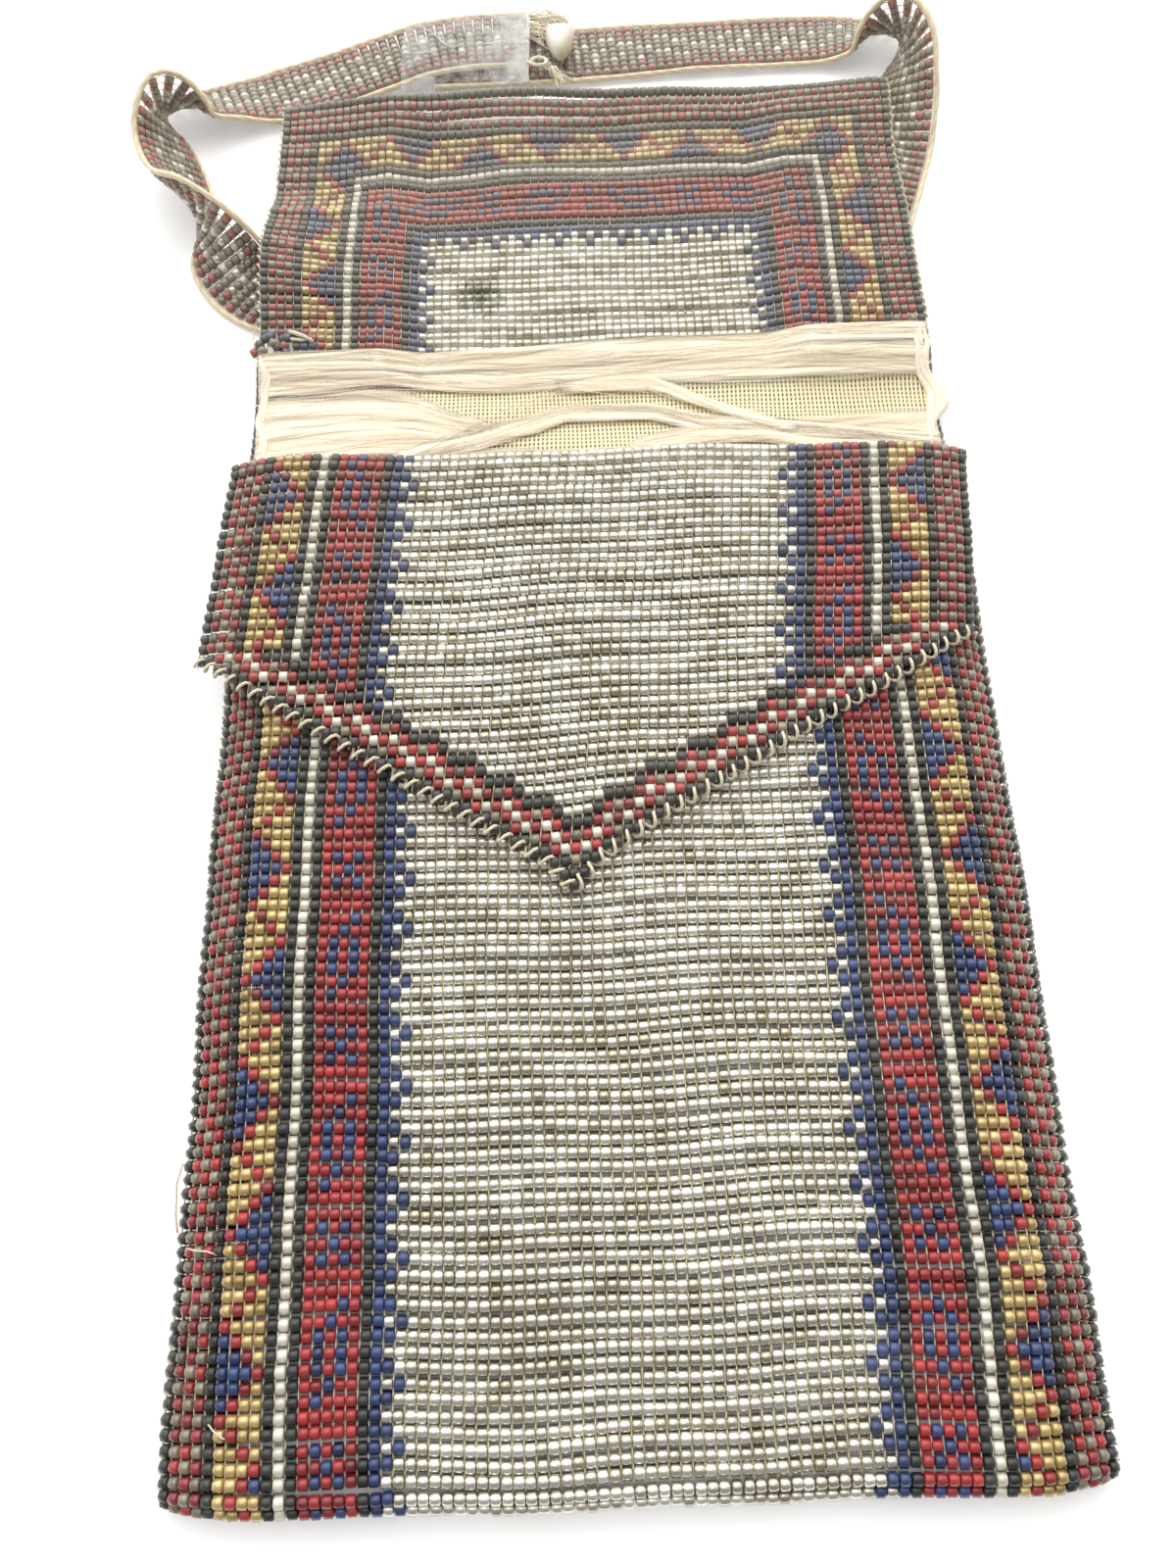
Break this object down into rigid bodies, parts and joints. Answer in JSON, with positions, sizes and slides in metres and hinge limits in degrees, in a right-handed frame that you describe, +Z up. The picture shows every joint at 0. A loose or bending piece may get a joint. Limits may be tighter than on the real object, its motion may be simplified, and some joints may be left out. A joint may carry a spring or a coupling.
{
  "type": "beaded evening purse",
  "caption": "Flat loom-woven purse of metallic beads with a pointed flap, an opened back leaf, a silk and gauze lining and a broken beaded strap joined by a knot and clear tape.",
  "frame": {"origin": "middle of the pouch's underside, on the table that the purse lies on", "axes": "+X across the purse to its right, +Y from the bottom fold towards the leaf and strap, +Z up from the table"},
  "size_m": [0.1689, 0.2937, 0.0168],
  "materials": {
    "beadwork": "round beads with a champagne silver metallic skin, seen with pale thread between them",
    "strap_beadwork": "the same beads in white, grey and red checks",
    "cotton_cord": "rolled cream cotton",
    "warp_thread": "fine twisted cotton thread",
    "gauze": "open yellowed cotton net",
    "silk": "worn ivory silk, split into its threads",
    "clear_tape": "clear creased tape",
    "knot_thread": "wrapped off-white thread"
  },
  "bodies": {
    "root": {"loomed_strip": "beadwork", "gauze_interlining": "gauze", "silk_lining": "silk", "left_strap": "strap_beadwork", "left_strap_outer_cord": "cotton_cord", "left_strap_inner_cord": "cotton_cord", "right_strap": "strap_beadwork", "right_strap_outer_cord": "cotton_cord", "right_strap_inner_cord": "cotton_cord", "repair_tape": "clear_tape", "joint_knot": "knot_thread", "left_seam_cord": "warp_thread", "right_seam_cord": "warp_thread", "left_leaf_cord": "warp_thread", "right_leaf_cord": "warp_thread", "flap_edge_cord": "warp_thread"}
  },
  "joints": []
}
